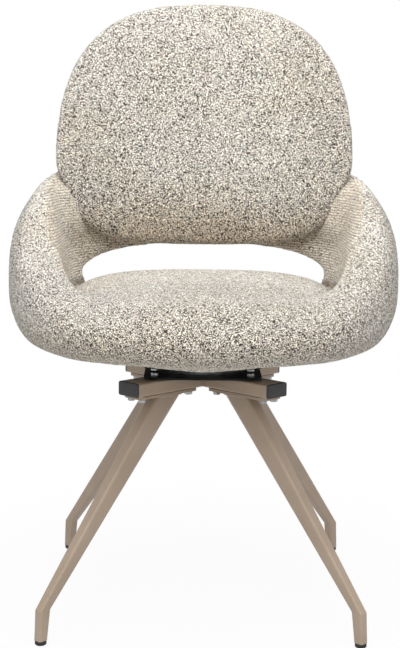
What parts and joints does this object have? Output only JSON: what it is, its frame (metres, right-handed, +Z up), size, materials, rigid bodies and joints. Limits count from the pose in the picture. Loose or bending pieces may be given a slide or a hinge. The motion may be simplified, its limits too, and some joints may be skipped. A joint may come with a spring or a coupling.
{
  "type": "swivel dining chair",
  "caption": "Upholstered tub chair with wrapped arms and a tall rounded back, on a ball-bearing swivel and bent tapered steel legs.",
  "frame": {"origin": "on the floor under the swivel axis, which is also the middle of the chair's outer box", "axes": "+Z up along the swivel axis, the sitter faces -Y, +X is on the right of somebody who looks at the chair from the front"},
  "size_m": [0.5572, 0.5871, 0.886],
  "materials": {
    "boucle": "looped wool-blend boucle, cream with fine charcoal flecks",
    "painted_steel": "satin powder coat, taupe",
    "black_plastic": "moulded polypropylene, fine matt grain",
    "black_steel": "semi-gloss black powder coat",
    "zinc_steel": "bright zinc plate",
    "bearing_steel": "ground and oiled",
    "nylon": "moulded natural nylon",
    "plywood": "sanded birch plywood",
    "stained_ply": "birch plywood, stained black",
    "dust_cloth": "black non-woven cloth",
    "frame_steel": "grey primer"
  },
  "bodies": {
    "base": {"cross_tube": "painted_steel", "cross_stub_left": "painted_steel", "cross_stub_right": "painted_steel", "end_cap_front_left": "black_plastic", "end_cap_front_right": "black_plastic", "end_cap_rear_left": "black_plastic", "end_cap_rear_right": "black_plastic", "leg_front_left": "painted_steel", "leg_front_right": "painted_steel", "leg_rear_left": "painted_steel", "leg_rear_right": "painted_steel", "leg_plate_front_left": "painted_steel", "leg_plate_front_right": "painted_steel", "leg_plate_rear_left": "painted_steel", "leg_plate_rear_right": "painted_steel", "glide_front_left": "black_plastic", "glide_front_right": "black_plastic", "glide_rear_left": "black_plastic", "glide_rear_right": "black_plastic", "leg_bolts": "zinc_steel", "leg_bolt_nuts": "zinc_steel", "swivel_lower_plate": "black_steel", "lower_plate_bolts": "zinc_steel", "lower_plate_nuts": "zinc_steel", "lower_race": "bearing_steel", "spindle": "bearing_steel", "spindle_washer": "zinc_steel", "spindle_nut": "zinc_steel"},
    "cage": {"ball_cage": "nylon", "bearing_balls": "bearing_steel"},
    "seat": {"upper_race": "bearing_steel", "swivel_upper_plate": "black_steel", "spindle_bush": "nylon", "mounting_pad": "stained_ply", "seat_bolts": "zinc_steel", "tee_nuts": "zinc_steel", "seat_board": "plywood", "dust_cover": "dust_cloth", "hoop_frame": "frame_steel", "hoop_shoe_left": "frame_steel", "hoop_shoe_right": "frame_steel", "shoe_screws": "zinc_steel", "back_board": "plywood", "back_screws": "zinc_steel", "seat_cushion": "boucle", "front_roll": "boucle", "rear_rim": "boucle", "left_arm": "boucle", "right_arm": "boucle", "back_band": "boucle", "back_cushion": "boucle", "rear_pad": "boucle"}
  },
  "joints": [
    {"name": "seat_swivel", "type": "hinge", "parent": "base", "child": "seat", "pos_m": [0, 0, 0.3495], "axis": [0, 0, 1], "continuous": true},
    {"name": "cage_turn", "type": "hinge", "parent": "base", "child": "cage", "pos_m": [0, 0, 0.3495], "axis": [0, 0, 1], "continuous": true}
  ],
  "couplings": [
    {"joint": "cage_turn", "follows": "seat_swivel", "ratio": 0.5}
  ]
}
